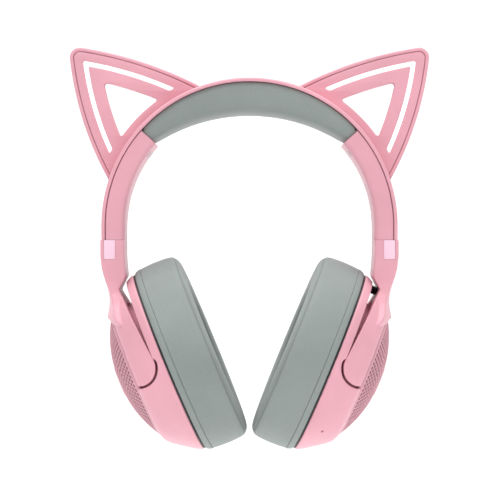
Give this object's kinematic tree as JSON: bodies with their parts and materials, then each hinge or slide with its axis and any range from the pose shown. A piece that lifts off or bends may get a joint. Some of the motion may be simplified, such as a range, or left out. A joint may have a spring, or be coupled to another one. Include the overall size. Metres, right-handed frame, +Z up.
{
  "type": "gaming headset",
  "caption": "Over-ear wireless gaming headset in pink with grey cushions and cat-ear frames that carry light strips; sliding yokes and tilting cups.",
  "frame": {"origin": "middle of the head cushion's underside, at the crown", "axes": "+Z up through the crown, +X towards the wearer's left ear, -Y the way the wearer faces"},
  "size_m": [0.1868, 0.0896, 0.2084],
  "materials": {
    "pink_shell": "satin moulded",
    "pink_grille": "textured",
    "pink_keys": "satin moulded",
    "side_marker": "gloss",
    "spring_steel": "brushed",
    "screw_steel": "satin",
    "black_plastic": "matte",
    "grey_leatherette": "soft grained leatherette over foam",
    "grey_plastic": "satin",
    "scrim_cloth": "knitted mesh",
    "light_diffuser": "milky translucent",
    "circuit_board": "solder mask",
    "magnet_steel": "plated",
    "diaphragm_film": "film",
    "port_steel": "satin",
    "battery_pouch": "pouch foil",
    "cable_rubber": "matte"
  },
  "bodies": {
    "headband": {"headband_outer_shell": "pink_shell", "spring_strip": "spring_steel", "cushion_base": "black_plastic", "head_cushion": "grey_leatherette", "headband_wire": "cable_rubber", "band_screws": "screw_steel", "left_arm_cover": "pink_shell", "right_arm_cover": "pink_shell", "left_slider_guide": "black_plastic", "right_slider_guide": "black_plastic", "left_ear_frame": "pink_shell", "left_ear_front_cover": "pink_shell", "left_ear_rear_cover": "pink_shell", "left_ear_light_guide": "light_diffuser", "left_ear_led_board": "circuit_board", "right_ear_frame": "pink_shell", "right_ear_front_cover": "pink_shell", "right_ear_rear_cover": "pink_shell", "right_ear_light_guide": "light_diffuser", "right_ear_led_board": "circuit_board"},
    "left_yoke_arm": {"left_slider_bar": "spring_steel", "left_yoke": "pink_shell", "left_side_marker": "side_marker", "left_pivot_pins": "spring_steel", "left_yoke_screws": "screw_steel"},
    "right_yoke_arm": {"right_slider_bar": "spring_steel", "right_yoke": "pink_shell", "right_side_marker": "side_marker", "right_pivot_pins": "spring_steel", "right_yoke_screws": "screw_steel"},
    "left_cup": {"left_cup_housing": "pink_shell", "left_grille": "pink_grille", "left_baffle": "black_plastic", "left_driver_frame": "black_plastic", "left_driver_magnet": "magnet_steel", "left_driver_diaphragm": "diaphragm_film", "left_pad_ring": "grey_plastic", "left_ear_cushion": "grey_leatherette", "left_ear_scrim": "scrim_cloth", "left_cup_screws": "screw_steel", "main_board": "circuit_board", "usb_c_port": "port_steel", "microphone": "port_steel", "left_lead": "cable_rubber"},
    "right_cup": {"right_cup_housing": "pink_shell", "right_grille": "pink_grille", "right_baffle": "black_plastic", "right_driver_frame": "black_plastic", "right_driver_magnet": "magnet_steel", "right_driver_diaphragm": "diaphragm_film", "right_pad_ring": "grey_plastic", "right_ear_cushion": "grey_leatherette", "right_ear_scrim": "scrim_cloth", "right_cup_screws": "screw_steel", "battery": "battery_pouch"},
    "power_key": {"power_button": "pink_keys"},
    "volume_up_key": {"volume_up_button": "pink_keys"},
    "volume_down_key": {"volume_down_button": "pink_keys"}
  },
  "joints": [
    {"name": "left_slider", "type": "slide", "parent": "headband", "child": "left_yoke_arm", "axis": [0.1392, 0, -0.9903], "range_m": [0, 0.028]},
    {"name": "right_slider", "type": "slide", "parent": "headband", "child": "right_yoke_arm", "axis": [-0.1392, 0, -0.9903], "range_m": [0, 0.028]},
    {"name": "left_cup_tilt", "type": "hinge", "parent": "left_yoke_arm", "child": "left_cup", "pos_m": [0.05654, 0, -0.12895], "axis": [0, -1, 0], "range_deg": [0, 25], "deforming": ["left_lead"]},
    {"name": "right_cup_tilt", "type": "hinge", "parent": "right_yoke_arm", "child": "right_cup", "pos_m": [-0.05654, 0, -0.12895], "axis": [0, 1, 0], "range_deg": [0, 25]},
    {"name": "power_press", "type": "slide", "parent": "left_cup", "child": "power_key", "axis": [-0.3213, -0.5973, 0.7349], "range_m": [0, 0.0007], "stiffness_N_per_m": 1500},
    {"name": "volume_up_press", "type": "slide", "parent": "left_cup", "child": "volume_up_key", "axis": [-0.4426, -0.781, 0.4407], "range_m": [0, 0.0007], "stiffness_N_per_m": 1500},
    {"name": "volume_down_press", "type": "slide", "parent": "left_cup", "child": "volume_down_key", "axis": [-0.378, -0.7073, 0.5974], "range_m": [0, 0.0007], "stiffness_N_per_m": 1500}
  ]
}
